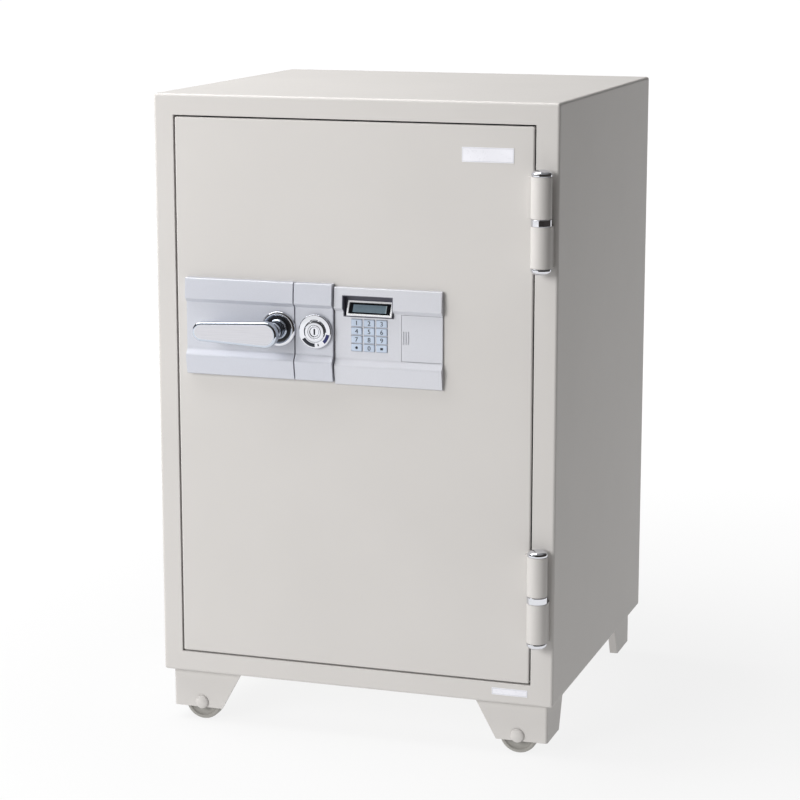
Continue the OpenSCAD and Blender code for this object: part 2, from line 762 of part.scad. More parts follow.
module lock_cam()
    color(steel) on_front(key_lock_x, key_lock_z, -cavity_d - 2 - cam_t) union() {
        cylinder(h = cam_t, r = 9);
        translate([-5, -cam_l + 5, 0]) cube([10, cam_l - 5, cam_t]);
        translate([0, -cam_l + 5, 0]) cylinder(h = cam_t, r = 5);
    }

module solenoid_plunger()
    color(chrome) along_x(solenoid_x[0] - 1, work_d, solenoid_z) cylinder(h = 22, r = plunger_r);

groove = 0.5; // depth of the finger grooves

module battery_cover()
    color(silver) difference() {
        slab([battery_x + 0.4, panel_right], [-housing_trough, -0.3],
             [battery_z[0] + 0.4, battery_z[1] - 0.4]);
        for (i = [0:2], x = [battery_x + 3 + 3.5 * i])
            slab([x, x + 1.2], [-housing_trough - eps, -housing_trough + groove],
                 [housing_z - 8, housing_z + 10]);
    }

// One key: cap, stop flange behind the housing and stem above the circuit board
module key(col, row)
    color(key_blue) on_front(key_at(col, row)[0], key_at(col, row)[1], 0) {
        out = housing_trough + key_out;
        translate([-key_w / 2, -key_h / 2, -0.3]) cube([key_w, key_h, out + 0.3]);
        translate([-key_w / 2 - 0.8, -key_h / 2 - 0.6, -1.3]) cube([key_w + 1.6, key_h + 1.2, 1]);
        translate([0, 0, -4.3]) cylinder(h = 3.2, r = 2.4);
    }

module key_1() key(0, 0);
module key_2() key(1, 0);
module key_3() key(2, 0);
module key_4() key(0, 1);
module key_5() key(1, 1);
module key_6() key(2, 1);
module key_7() key(0, 2);
module key_8() key(1, 2);
module key_9() key(2, 2);
module key_star() key(0, 3);
module key_0() key(1, 3);
module key_hash() key(2, 3);

// ---------------------------------------------------------------- nodes

outer_casing();
body_insulation();
inner_liner();
front_frame();
door_seal();
bolt_keepers();
shelves();
shelf_pins();
feet();
castor_axles();
wheel_front_left();
wheel_front_right();
wheel_rear_left();
wheel_rear_right();
frame_knuckles();
hinge_pins();
hinge_rings();
rating_label();
door_skin();
door_insulation();
door_back_cover();
cover_screws();
door_knuckles();
hinge_top_caps();
fixed_bolts();
bolt_guides();
door_label();
handle_plate();
handle_rose();
key_plate();
key_cylinder();
keypad_housing();
display_body();
display_frame();
display_window();
circuit_board();
battery_holder();
batteries();
solenoid();
lock_cable();
lever_handle();
drive_spindle();
bolt_bar();
bolts();
key_plug();
lock_cam();
solenoid_plunger();
battery_cover();
key_1();
key_2();
key_3();
key_4();
key_5();
key_6();
key_7();
key_8();
key_9();
key_star();
key_0();
key_hash();
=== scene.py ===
"""Looks of the fire safe: shells, lock panel, lever, keys, hinges, castors and every material.

All lengths are metres in the row frame: +Z up, -Y out of the door, +X towards the hinges.
"""
import json
import math

import bmesh
import bpy
from mathutils import Matrix, Vector

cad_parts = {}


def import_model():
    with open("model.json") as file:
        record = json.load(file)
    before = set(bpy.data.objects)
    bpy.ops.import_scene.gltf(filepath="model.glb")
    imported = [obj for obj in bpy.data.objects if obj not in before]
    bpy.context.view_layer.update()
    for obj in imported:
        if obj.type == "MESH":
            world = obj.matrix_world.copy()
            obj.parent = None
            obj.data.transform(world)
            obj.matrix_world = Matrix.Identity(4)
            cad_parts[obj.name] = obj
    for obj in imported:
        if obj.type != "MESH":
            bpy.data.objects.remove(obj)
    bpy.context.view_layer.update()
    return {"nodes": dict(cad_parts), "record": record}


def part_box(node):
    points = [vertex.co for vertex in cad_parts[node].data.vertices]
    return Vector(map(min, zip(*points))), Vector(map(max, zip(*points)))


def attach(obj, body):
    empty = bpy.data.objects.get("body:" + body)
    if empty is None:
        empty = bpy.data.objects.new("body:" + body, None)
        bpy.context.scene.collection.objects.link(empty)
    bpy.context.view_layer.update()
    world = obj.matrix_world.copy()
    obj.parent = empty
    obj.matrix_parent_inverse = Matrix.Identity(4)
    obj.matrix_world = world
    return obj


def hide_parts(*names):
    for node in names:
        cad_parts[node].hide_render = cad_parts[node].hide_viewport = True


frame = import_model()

MM = 0.001
NODES = frame["nodes"]
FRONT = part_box("outer_casing")[0].y      # plane of the closed door's face


def out(mm):
    """Y of a point that many millimetres in front of the door."""
    return FRONT - mm * MM


# ------------------------------------------------------------------ materials

class Shader:
    """A node material under construction: a Principled shader and the nodes that feed it."""

    def __init__(self, name, rough, metal=0.0, **sockets):
        self.material = bpy.data.materials.new(name)
        self.material.use_nodes = True
        self.nodes = self.material.node_tree.nodes
        self.links = self.material.node_tree.links
        self.shader = self.nodes["Principled BSDF"]
        self.set(self.shader, Roughness=rough, Metallic=metal)
        for socket, value in sockets.items():
            self.shader.inputs[socket.replace("_", " ")].default_value = value
        self.place = self.nodes.new("ShaderNodeTexCoord").outputs["Object"]

    def set(self, node, **values):
        for socket, value in values.items():
            node.inputs[socket].default_value = value
        return node

    def stretch(self, scale):
        """The object's coordinates scaled along each axis, for brushed grain."""
        mapping = self.nodes.new("ShaderNodeMapping")
        mapping.inputs["Scale"].default_value = scale
        self.links.new(self.place, mapping.inputs["Vector"])
        return mapping.outputs["Vector"]

    def noise(self, scale, detail=2.0, source=None):
        node = self.set(self.nodes.new("ShaderNodeTexNoise"), Scale=scale, Detail=detail)
        self.links.new(source or self.place, node.inputs["Vector"])
        return node.outputs["Fac"]

    def ramp(self, factor, stops):
        node = self.nodes.new("ShaderNodeValToRGB")
        ramp = node.color_ramp
        while len(ramp.elements) < len(stops):
            ramp.elements.new(0.5)
        for element, (position, colour) in zip(ramp.elements, stops):
            element.position = position
            element.color = (*colour, 1.0)
        self.links.new(factor, node.inputs["Fac"])
        return node.outputs["Color"]

    def spread(self, factor, low, high):
        """The factor's middle range stretched to low..high."""
        node = self.set(self.nodes.new("ShaderNodeMapRange"),
                        **{"From Min": 0.3, "From Max": 0.7, "To Min": low, "To Max": high})
        self.links.new(factor, node.inputs["Value"])
        return node.outputs["Result"]

    def feed(self, socket, source):
        self.links.new(source, self.shader.inputs[socket])

    def bump(self, height, distance, strength=1.0):
        node = self.set(self.nodes.new("ShaderNodeBump"), Strength=strength, Distance=distance)
        previous = self.shader.inputs["Normal"].links
        if previous:
            self.links.new(previous[0].from_socket, node.inputs["Normal"])
        self.links.new(height, node.inputs["Height"])
        self.feed("Normal", node.outputs["Normal"])


def linear(*srgb):
    """An 8-bit screen colour as linear light."""
    return tuple(((c / 255 + 0.055) / 1.055) ** 2.4 if c > 10 else c / 255 / 12.92 for c in srgb)


def shade(colour, factor):
    return tuple(min(1.0, c * factor) for c in colour)


def powder_paint(name, colour):
    """Powder coat: faint cloudiness, fine orange peel, satin gloss."""
    s = Shader(name, 0.5, Specular_IOR_Level=0.3)
    clouds = [(0.3, shade(colour, 0.982)), (0.7, shade(colour, 1.015))]
    s.feed("Base Color", s.ramp(s.noise(5.0, 3.0), clouds))
    s.feed("Roughness", s.spread(s.noise(420.0, 2.0), 0.45, 0.53))
    s.bump(s.noise(650.0, 3.0), 0.00008, 0.55)
    s.bump(s.noise(90.0, 1.0), 0.0001, 0.25)
    return s.material


def satin_metal(name, colour, rough, grain, metal=1.0):
    """Metal with a fine grain, drawn out along the axes with a low scale."""
    s = Shader(name, rough, metal)
    lines = s.noise(900.0, 3.0, s.stretch(grain))
    s.feed("Base Color", s.ramp(lines, [(0.3, shade(colour, 0.94)), (0.7, shade(colour, 1.04))]))
    s.feed("Roughness", s.spread(lines, rough - 0.05, rough + 0.05))
    s.bump(lines, 0.00002, 0.35)
    return s.material


def chrome_plate(name, colour, rough=0.05):
    """Polished plating with faint handling haze."""
    s = Shader(name, rough, 1.0)
    s.feed("Base Color", s.ramp(s.noise(30.0), [(0.3, shade(colour, 0.97)), (0.7, colour)]))
    s.feed("Roughness", s.spread(s.noise(160.0, 4.0), rough, rough + 0.05))
    return s.material


def metallic_lacquer(name, colour, rough=0.40, metal=0.30):
    """Silver lacquer: tiny flakes under a clear coat."""
    s = Shader(name, rough, metal, Coat_Weight=0.1, Coat_Roughness=0.25, Specular_IOR_Level=0.35)
    flakes = s.noise(2600.0, 1.0)
    tones = [(0.3, shade(colour, 0.93)), (0.52, colour), (0.75, shade(colour, 1.08))]
    s.feed("Base Color", s.ramp(flakes, tones))
    s.feed("Roughness", s.spread(s.noise(60.0, 3.0), rough - 0.03, rough + 0.04))
    s.bump(flakes, 0.00001, 0.25)
    return s.material


def moulded_plastic(name, colour, rough=0.4, grain=1400.0, coat=0.0, gloss=0.5):
    """Moulded plastic with a fine spark-eroded texture."""
    s = Shader(name, rough, 0.0, Coat_Weight=coat, Coat_Roughness=0.12, Specular_IOR_Level=gloss)
    s.feed("Base Color", s.ramp(s.noise(40.0, 2.0), [(0.3, shade(colour, 0.95)), (0.7, shade(colour, 1.04))]))
    s.feed("Roughness", s.spread(s.noise(300.0, 2.0), rough - 0.05, rough + 0.06))
    s.bump(s.noise(grain, 2.0), 0.00002, 0.4)
    return s.material


def rough_cast(name, colour):
    """Cast mineral filling: pores and cloudy colour."""
    s = Shader(name, 0.9)
    s.feed("Base Color", s.ramp(s.noise(60.0, 5.0), [(0.3, shade(colour, 0.8)), (0.7, shade(colour, 1.1))]))
    s.bump(s.noise(350.0, 6.0), 0.0006, 0.6)
    return s.material


def clear_window(name):
    """Clear plastic over the display."""
    s = Shader(name, 0.03, 0.0, Alpha=0.04, IOR=1.4, Specular_IOR_Level=0.15)
    s.feed("Base Color", s.ramp(s.noise(80.0), [(0.3, (0.05, 0.06, 0.07)), (0.7, (0.06, 0.07, 0.08))]))
    return s.material


PAINT = linear(196, 193, 190)
SILVER = linear(200, 202, 210)

MATERIALS = {
    "paint": powder_paint("powder_paint", PAINT),
    "insulation": rough_cast("cast_insulation", (0.62, 0.58, 0.50)),
    # black rubber of the seal; also the painted shade of the door gap strips
    "seal": moulded_plastic("seal_rubber_and_gap_shade", (0.03, 0.03, 0.03), 0.8, 500.0),
    "steel": satin_metal("plated_steel", (0.62, 0.62, 0.63), 0.32, (1.0, 0.2, 1.0)),
    "chrome": chrome_plate("chrome_plate", (0.74, 0.75, 0.79)),
    "lever_chrome": chrome_plate("lever_chrome", (0.60, 0.65, 0.73)),
    "silver": metallic_lacquer("silver_lacquer", SILVER),
    "housing": metallic_lacquer("housing_lacquer", linear(205, 206, 212), 0.38, 0.25),
    "keys": moulded_plastic("key_plastic", linear(180, 192, 209), 0.32, 1400.0, 0.3),
    # black plastic; also the painted dark reflection in the rose's dish
    "black": moulded_plastic("black_plastic_and_painted_reflection", (0.008, 0.008, 0.01), 0.3),
    "window": clear_window("display_glass"),
    "board": moulded_plastic("solder_mask", (0.01, 0.09, 0.03), 0.35, 900.0),
    "cells": moulded_plastic("cell_sleeve", (0.02, 0.03, 0.05), 0.3, 300.0, 0.5),
    "cable": moulded_plastic("cable_sheath", (0.012, 0.012, 0.014), 0.5),
    "wheel": moulded_plastic("castor_nylon", linear(150, 148, 143), 0.5, 700.0),
    "label": moulded_plastic("label_face", linear(226, 226, 232), 0.3, 1800.0, 0.3),
}
SATIN_FACE = satin_metal("satin_face", (0.68, 0.68, 0.72), 0.36, (0.03, 1.0, 1.0), 0.7)
# dark ink of the prints; also the painted shade in the lock's outer groove and keyway
DARK_INK_AND_SHADE = moulded_plastic("dark_ink_and_shade", (0.010, 0.013, 0.020), 0.4)
INK_BLUE = moulded_plastic("blue_ink", (0.012, 0.016, 0.10), 0.35)
LCD_FACE = moulded_plastic("lcd_face", linear(100, 116, 126), 0.35, 3000.0, 0.0, 0.2)
LCD_STRIP = moulded_plastic("lcd_strip", linear(150, 162, 168), 0.35, 3000.0, 0.0, 0.2)
TRAY_FACE = moulded_plastic("tray_plastic", (0.10, 0.10, 0.13), 0.35, 1200.0)
BEZEL_FACE = moulded_plastic("bezel_plastic", (0.001, 0.001, 0.002), 0.14, 1200.0, 0.0, 0.06)
TRIM_FACE = satin_metal("bright_trim", (0.86, 0.86, 0.88), 0.3, (1.0, 1.0, 1.0), 0.3)
# grey print of the label borders; also the painted shade in the lock's inner groove
GREY_PRINT_AND_SHADE = moulded_plastic("grey_print_and_shade", linear(170, 172, 180), 0.4)


# ------------------------------------------------------------------ mesh helpers

def make_piece(bm, name, body, slot, replaces=(), material=None):
    """A piece of a bmesh: smooth with weighted normals, its material, and its place on the frame."""
    bmesh.ops.recalc_face_normals(bm, faces=bm.faces)
    mesh = bpy.data.meshes.new(name)
    bm.to_mesh(mesh)
    bm.free()
    mesh.polygons.foreach_set("use_smooth", [True] * len(mesh.polygons))
    piece = bpy.data.objects.new(name, mesh)
    bpy.context.scene.collection.objects.link(piece)
    mesh.materials.append(material or MATERIALS[slot])
    piece.modifiers.new("normals", "WEIGHTED_NORMAL").keep_sharp = True
    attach(piece, body)
    if replaces:
        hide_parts(*replaces)


def sharpen(bm, degrees=34):
    """Marks the edges steeper than the angle as sharp, so that smooth shading stops there."""
    for edge in bm.edges:
        if len(edge.link_faces) == 2 and edge.calc_face_angle(0.0) > math.radians(degrees):
            edge.smooth = False
    return bm


def edges_where(bm, test):
    return [edge for edge in bm.edges if all(test(vert.co) for vert in edge.verts)]


def near(a, b):
    return abs(a - b) < 1e-6


def bevel(bm, edges, width, segments=3):
    bmesh.ops.recalc_face_normals(bm, faces=bm.faces)
    bmesh.ops.bevel(bm, geom=edges, offset=width, offset_type="OFFSET", segments=segments,
                    profile=0.5, affect="EDGES", clamp_overlap=True)


BOX_FACES = ((0, 1, 5, 4), (2, 3, 7, 6), (0, 2, 6, 4), (1, 3, 7, 5), (0, 1, 3, 2), (4, 5, 7, 6))


def add_box(bm, lo, hi):
    """A box; bit 0 of a corner's number picks its x, bit 1 its y and bit 2 its z."""
    corners = [bm.verts.new([(lo, hi)[i >> axis & 1][axis] for axis in range(3)]) for i in range(8)]
    for face in BOX_FACES:
        bm.faces.new([corners[i] for i in face])
    return bm


def rounded_box(lo, hi, radius, segments=3):
    bm = add_box(bmesh.new(), lo, hi)
    bevel(bm, list(bm.edges), radius, segments)
    return bm


def joined(*parts):
    """One bmesh out of several."""
    whole = bmesh.new()
    for part in parts:
        mesh = bpy.data.meshes.new("scratch")
        part.to_mesh(mesh)
        part.free()
        whole.from_mesh(mesh)
        bpy.data.meshes.remove(mesh)
    return whole


def cut(bm, tool):
    """The bmesh less the tool's volume."""
    scratch = []
    for part in (bm, tool):
        bmesh.ops.recalc_face_normals(part, faces=part.faces)
        mesh = bpy.data.meshes.new("scratch")
        part.to_mesh(mesh)
        part.free()
        scratch.append(bpy.data.objects.new("scratch", mesh))
        bpy.context.scene.collection.objects.link(scratch[-1])
    boolean = scratch[0].modifiers.new("cut", "BOOLEAN")
    boolean.operation = "DIFFERENCE"
    boolean.solver = "EXACT"
    boolean.object = scratch[1]
    result = bmesh.new()
    result.from_mesh(scratch[0].evaluated_get(bpy.context.evaluated_depsgraph_get()).to_mesh())
    for obj in scratch:
        mesh = obj.data
        bpy.data.objects.remove(obj)
        bpy.data.meshes.remove(mesh)
    return result


def loop_faces(bm, first, second):
    """Quads between two closed loops of equally many vertices."""
    for i in range(len(first)):
        j = (i + 1) % len(first)
        bm.faces.new([first[i], first[j], second[j], second[i]])


def rect_loop(bm, rect, y):
    """Four vertices round a rectangle (left, right, bottom, top) at a depth."""
    left, right, bottom, top = rect
    return [bm.verts.new(p) for p in ((left, y, bottom), (right, y, bottom), (right, y, top), (left, y, top))]


def rect_of(lo, hi, grow=0.0):
    return lo.x - grow, hi.x + grow, lo.z - grow, hi.z + grow


def lathe(profile, centre, axis, steps=72):
    """A solid of revolution. The profile lists (radius, height) in millimetres along the axis."""
    bm = bmesh.new()
    turn = Vector((0, 0, 1)).rotation_difference(Vector(axis)).to_matrix()
    rings = []
    for radius, height in profile:
        count = steps if radius > 0 else 1
        angles = [2 * math.pi * i / steps for i in range(count)]
        points = [Vector((radius * math.cos(a), radius * math.sin(a), height)) for a in angles]
        rings.append([bm.verts.new(turn @ point * MM + centre) for point in points])
    closed = profile[0][0] > 0
    for low, high in list(zip(rings, rings[1:])) + ([(rings[-1], rings[0])] if closed else []):
        for i in range(steps):
            j = (i + 1) % steps
            corners = [low[i % len(low)], low[j % len(low)], high[j % len(high)], high[i % len(high)]]
            corners = list(dict.fromkeys(corners))
            if len(corners) > 2:
                bm.faces.new(corners)
    return sharpen(bm, 32)


def quarter_turn(steps):
    """Angles from nought to a right angle, both included."""
    return [math.pi / 2 * k / steps for k in range(steps + 1)]


def dome(radius, base, height, steps):
    """The part of a lathe's profile that rises from a rim to the axis as an ellipse."""
    arc = [(radius * math.cos(a), base + height * math.sin(a)) for a in quarter_turn(steps)]
    return arc[:-1] + [(0, base + height)]


def rounded(corners, steps=5):
    """A closed outline with its corners rounded. Each corner is (a, b, radius)."""
    points = [Vector(c[:2]) for c in corners]
    outline = []
    for i, (a, b, radius) in enumerate(corners):
        here = points[i]
        if radius <= 0:
            outline.append(tuple(here))
            continue
        u, v = points[i - 1] - here, points[(i + 1) % len(points)] - here
        half = u.angle(v) / 2
        reach = min(radius / math.tan(half), 0.49 * u.length, 0.49 * v.length)
        middle = here + (u.normalized() + v.normalized()).normalized() * (reach / math.cos(half))
        start, end = here + u.normalized() * reach - middle, here + v.normalized() * reach - middle
        sweep = start.angle_signed(end)
        for k in range(steps + 1):
            outline.append(tuple(middle + Matrix.Rotation(-sweep * k / steps, 2) @ start))
    return outline


def profile_bar(x0, x1, outline, soft=0.5):
    """A bar along X with an outline of (millimetres out, height in metres) points and softened ends."""
    bm = bmesh.new()
    ends = [[bm.verts.new((x, out(o), z)) for o, z in outline] for x in (x0, x1)]
    loop_faces(bm, *ends)
    for end in ends:
        bm.faces.new(end)
    if soft:
        rims = edges_where(bm, lambda p: near(p.x, x0)) + edges_where(bm, lambda p: near(p.x, x1))
        bevel(bm, rims, soft * MM, 2)
    return bm


def rod(x, z, low, high, radius):
    """A cylinder across the front plane, from low to high millimetres out of the door."""
    profile = [(0, low), (radius, low), (radius, high), (0, high)]
    return lathe(profile, Vector((x, FRONT, z)), (0, -1, 0), 64)


def soften_cad(node, width):
    """Rounds the edges of a CAD node that stays in view, to a width in millimetres."""
    obj = NODES[node]
    obj.modifiers.new("weld", "WELD").merge_threshold = 0.00001
    soft = obj.modifiers.new("soft_edges", "BEVEL")
    soft.width = width * MM
    soft.segments = 2
    soft.limit_method = "ANGLE"
    soft.angle_limit = math.radians(40)
    soft.use_clamp_overlap = True
    obj.modifiers.new("normals", "WEIGHTED_NORMAL").keep_sharp = True


# ------------------------------------------------------------------ body and door

WALL = 0.002            # sheet of the casing
EDGE_R = 0.004          # round edge of the casing


def body_shell():
    """Casing with rounded edges and a front flange round the door opening."""
    lo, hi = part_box("outer_casing")
    opening = rect_of(*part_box("front_frame"), -WALL)
    inset = Vector((WALL, WALL, WALL))
    bm = bmesh.new()
    outer_front, outer_back = rect_loop(bm, rect_of(lo, hi), lo.y), rect_loop(bm, rect_of(lo, hi), hi.y)
    hole_front, hole_back = rect_loop(bm, opening, lo.y), rect_loop(bm, opening, lo.y + WALL)
    inner = rect_of(lo + inset, hi - inset)
    inner_front, inner_back = rect_loop(bm, inner, lo.y + WALL), rect_loop(bm, inner, hi.y - WALL)
    for first, second in ((outer_front, hole_front), (hole_front, hole_back), (hole_back, inner_front),
                          (inner_front, inner_back), (outer_front, outer_back)):
        loop_faces(bm, first, second)
    bm.faces.new(outer_back)
    bm.faces.new(inner_back)
    left, right, bottom, top = opening

    def on_lip(p):
        return near(p.y, lo.y) and left - 1e-6 < p.x < right + 1e-6 and bottom - 1e-6 < p.z < top + 1e-6

    def on_corner(p):
        return all(near(p[axis], lo[axis]) or near(p[axis], hi[axis]) for axis in range(3))

    bevel(bm, edges_where(bm, on_lip), 0.8 * MM, 3)
    bevel(bm, edges_where(bm, on_corner), EDGE_R, 8)
    make_piece(sharpen(bm), "body_shell", "body", "paint", ["outer_casing"])


def door_panel():
    """Front plate of the door, rounded at its edges, with the window for the keypad's works."""
    lo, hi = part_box("door_skin")
    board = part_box("circuit_board")[0]
    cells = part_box("battery_holder")[1]
    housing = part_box("keypad_housing")[1]
    window = (board.x - 0.003, cells.x + 0.0005, board.z - 0.021, housing.z - 0.009)
    bm = bmesh.new()
    outer = [rect_loop(bm, rect_of(lo, hi), y) for y in (lo.y, hi.y)]
    inner = [rect_loop(bm, window, y) for y in (lo.y, hi.y)]
    for first, second in (outer, inner, (outer[0], inner[0]), (outer[1], inner[1])):
        loop_faces(bm, first, second)
    bevel(bm, edges_where(bm, lambda p: near(p.x, lo.x) or near(p.x, hi.x)), 2.6 * MM, 5)
    make_piece(sharpen(bm), "door_panel", "door", "paint", ["door_skin"])


def gap_shade_strips():
    """Black strips on the door plate's hinge edge and top edge: painted shade that darkens those two gaps."""
    lo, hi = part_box("door_skin")
    thick, end, shallow, deep = 0.0003, 0.004, out(-2.6), out(-19.4)
    right = rounded_box((hi.x, shallow, lo.z + end), (hi.x + thick, deep, hi.z - end), 0.0001, 2)
    top = rounded_box((lo.x + end, shallow, hi.z), (hi.x - end, deep, hi.z + thick), 0.0001, 2)
    make_piece(sharpen(joined(right, top)), "door_gap_shade_strips", "door", "seal")


# ------------------------------------------------------------------ lock panel

TROUGH = 7.8            # millimetres from the door to the plates' trough
CREST = 14.0            # and to their two bands
HOUSING_DROP = 4.8      # the keypad housing is that much lower than the plates


def axis_of(disc, radius):
    """Where the axis of a disc of that radius meets the door's face."""
    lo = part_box(disc)[0]
    return Vector((lo.x + radius, FRONT, lo.z + radius))


SPINDLE = axis_of("handle_rose", 0.025)
KEY_LOCK = axis_of("key_cylinder", 0.024)


def panel_outline(bottom, drop=0.0):
    """Outline of the panel in (out, height): two bands with a trough between them."""
    high, low = CREST - drop, TROUGH - drop
    corners = [(0, 0, 0), (high - 4.5, 0, 2.5), (high, 26.7, 5), (low, 36.1, 6), (low, 101.7, 2.5),
               (high, 107.1, 1.6), (high - 2, 136, 2.0), (0, 136, 0)]
    return [(o, bottom + z * MM) for o, z in rounded(corners)]


def plates():
    """The two metal sections of the lock panel, each with its hole."""
    for name, hole, radius in (("handle_plate", SPINDLE, 9.5), ("key_plate", KEY_LOCK, 11.5)):
        lo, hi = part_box(name)
        bar = profile_bar(lo.x, hi.x, panel_outline(lo.z))
        bar = cut(bar, rod(hole.x, hole.z, -5, 20, radius))
        make_piece(sharpen(bar), name + "_shell", "door", "silver", [name])


KEY_NAMES = ["1", "2", "3", "4", "5", "6", "7", "8", "9", "star", "0", "hash"]
KEY_FLANGE = Vector((0.0008, 0, 0.0006))    # how far a key's hidden flange stands out round its cap


def tray_rect():
    """The opening round the display (left, right, bottom, top)."""
    lo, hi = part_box("display_frame")
    return lo.x - 0.0066, hi.x + 0.0015, lo.z - 0.0011, hi.z + 0.0064


def keypad_shell():
    """Housing with its key holes, the display opening and the battery bay."""
    lo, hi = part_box("keypad_housing")
    bar = profile_bar(lo.x, hi.x, panel_outline(lo.z, HOUSING_DROP))
    tool = bmesh.new()
    gap = 0.0004
    before, behind = out(12), out(-1)

    def opening(left, right, bottom, top):
        add_box(tool, (left, before, bottom), (right, behind, top))

    for key in KEY_NAMES:
        key_lo, key_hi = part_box("key_" + key)
        opening(*rect_of(key_lo + KEY_FLANGE, key_hi - KEY_FLANGE, gap))
    opening(*tray_rect())
    cover_lo, cover_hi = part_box("battery_cover")
    opening(cover_lo.x - gap, cover_hi.x + 0.01, cover_lo.z - gap, cover_hi.z + gap)
    make_piece(sharpen(cut(bar, tool)), "keypad_shell", "door", "housing", ["keypad_housing"])


def rose():
    """Chrome ring behind the lever and the black dish inside it: the black is a painted dark reflection of
    the concave chrome.
    """
    ring = [(8.2, 7.8), (25, 7.8), (25, 9.3), (24.8, 10.4), (24.2, 11.4), (23.2, 12.2), (21.9, 12.7),
            (20.6, 12.8), (19.6, 12.6), (19.0, 12.0), (18.6, 11.0), (18.4, 10.0), (8.2, 10.0)]
    make_piece(lathe(ring, SPINDLE, (0, -1, 0), 128), "rose_ring", "door", "chrome", ["handle_rose"])
    # painted dark reflection: the dish is black instead of mirroring its surroundings
    dish = [(8.4, 10.05), (18.3, 10.05), (18.3, 10.2), (17.0, 10.35), (8.4, 10.35)]
    make_piece(lathe(dish, SPINDLE, (0, -1, 0), 96), "rose_painted_reflection", "door", "black")


def escutcheon():
    """Raised disc and barrel of the key lock, with its engraved rings and the two printed arcs; the dark and
    grey rings laid in the two engraved grooves are painted shade.
    """
    profile = [(6.9, -60), (11, -60), (11, 7.8), (24, 7.8), (24, 11.6), (23.7, 12.4), (23.1, 12.9),
               (22.3, 13.1), (15.4, 13.4), (15.2, 13.2), (15.1, 12.6), (14.5, 12.6), (14.4, 14.0),
               (14.0, 14.6), (13.2, 14.9), (9.9, 15.15), (9.7, 14.9), (9.6, 14.6), (9.1, 14.6),
               (9.0, 14.9), (8.7, 15.1), (7.2, 15.1), (6.9, 14.8)]
    disc = lathe(profile, KEY_LOCK, (0, -1, 0), 144)
    make_piece(disc, "key_escutcheon", "door", "chrome", ["key_cylinder"])
    for name, ink, radii, angles in (("lock_arc", DARK_INK_AND_SHADE, (16.4, 21.4), (212, 270)),
                                     ("unlock_arc", INK_BLUE, (17.0, 21.8), (312, 350)),
                                     ("lock_tick", DARK_INK_AND_SHADE, (17.2, 20.6), (283, 288)),
                                     # painted shade in the outer engraved groove, left out where light falls
                                     ("groove_painted_shade", DARK_INK_AND_SHADE, (14.5, 15.1), (-25, 205)),
                                     ("guide_arc", DARK_INK_AND_SHADE, (15.7, 17.0), (-2, 64)),
                                     ("guide_tip", DARK_INK_AND_SHADE, (15.9, 16.8), (72, 112)),
                                     # painted shade in the inner engraved groove
                                     ("inner_groove_painted_shade", GREY_PRINT_AND_SHADE, (9.1, 9.6), (0, 359.9))):
        top = 13.42 if radii[0] > 15.5 else 14.75
        make_piece(ring_sector(KEY_LOCK, radii, angles, (12.4, top)), name, "door", "black", material=ink)


def key_plug():
    """Plug of the key lock with its keyway; the dark insert in the keyway is painted shade of its depth."""
    lo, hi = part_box("key_plug")
    face, back, radius = (FRONT - lo.y) / MM, (FRONT - hi.y) / MM, 6.6
    profile = [(0, back), (radius, back), (radius, face - 0.5), (radius - 0.5, face), (0, face)]
    barrel = lathe(profile, KEY_LOCK, (0, -1, 0), 96)

    def keyway(half_w, half_h, deep, high):
        return add_box(bmesh.new(), (KEY_LOCK.x - half_w * MM, out(high), KEY_LOCK.z - half_h * MM),
                       (KEY_LOCK.x + half_w * MM, out(deep), KEY_LOCK.z + half_h * MM))

    plug = cut(barrel, keyway(1.2, 4.2, face - 12, face + 1))
    make_piece(sharpen(plug), "lock_plug", "key_lock", "chrome", ["key_plug"])
    # painted shade: a dark box filling the keyway
    insert = keyway(1.15, 4.15, face - 11.9, face - 0.7)
    make_piece(insert, "keyway_painted_shade", "key_lock", "black", material=DARK_INK_AND_SHADE)


def ring_sector(centre, radii, angles, outs, steps=32):
    """A flat curved strip between two radii, two angles in degrees and two distances out of the door."""
    bm = bmesh.new()
    loops = []
    for k in range(steps + 1):
        a = math.radians(angles[0] + (angles[1] - angles[0]) * k / steps)
        corners = [(radii[0], outs[0]), (radii[1], outs[0]), (radii[1], outs[1]), (radii[0], outs[1])]
        loops.append([bm.verts.new((centre.x + r * MM * math.cos(a), out(o), centre.z + r * MM * math.sin(a)))
                      for r, o in corners])
    for first, second in zip(loops, loops[1:]):
        loop_faces(bm, first, second)
    bm.faces.new(loops[0])
    bm.faces.new(loops[-1])
    return sharpen(bm)


# ------------------------------------------------------------------ lever

# Both ends of the paddle: a centre seen from the front, in metres, and a radius in millimetres.
PADDLE_ROOT = (Vector((SPINDLE.x - 0.0056, SPINDLE.z - 0.003)), 18.0)
PADDLE_TIP = (Vector((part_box("lever_handle")[0].x + 0.0135, SPINDLE.z - 0.003)), 13.5)


def paddle_loop(bm, inset, outward, steps=40):
    """Vertices round the paddle's outline, drawn in by the inset, at a distance out of the door."""
    (root, root_r), (tip, tip_r) = PADDLE_ROOT, PADDLE_TIP
    length = (root - tip).length / MM
    lean = math.acos((root_r - tip_r) / length)
    loop = []
    for centre, radius, start, end in ((tip, tip_r, -lean, lean), (root, root_r, lean, 2 * math.pi - lean)):
        for k in range(steps + 1):
            a = start + (end - start) * k / steps
            r = (radius - inset) * MM
            loop.append(bm.verts.new((centre.x - r * math.cos(a), out(outward), centre.y - r * math.sin(a))))
    return loop


def lofted(sections):
    """A closed solid through the paddle's outline at each (inset, out)."""
    bm = bmesh.new()
    loops = [paddle_loop(bm, inset, outward) for inset, outward in sections]
    for first, second in zip(loops, loops[1:]):
        loop_faces(bm, first, second)
    bm.faces.new(loops[0])
    bm.faces.new(loops[-1])
    return sharpen(bm, 50)


def quarter(inset, depth, start_out, steps=7):
    """Sections of an elliptical edge that turns from the side to the front face."""
    return [(inset * (1 - math.cos(a)), start_out + depth * math.sin(a)) for a in quarter_turn(steps)]


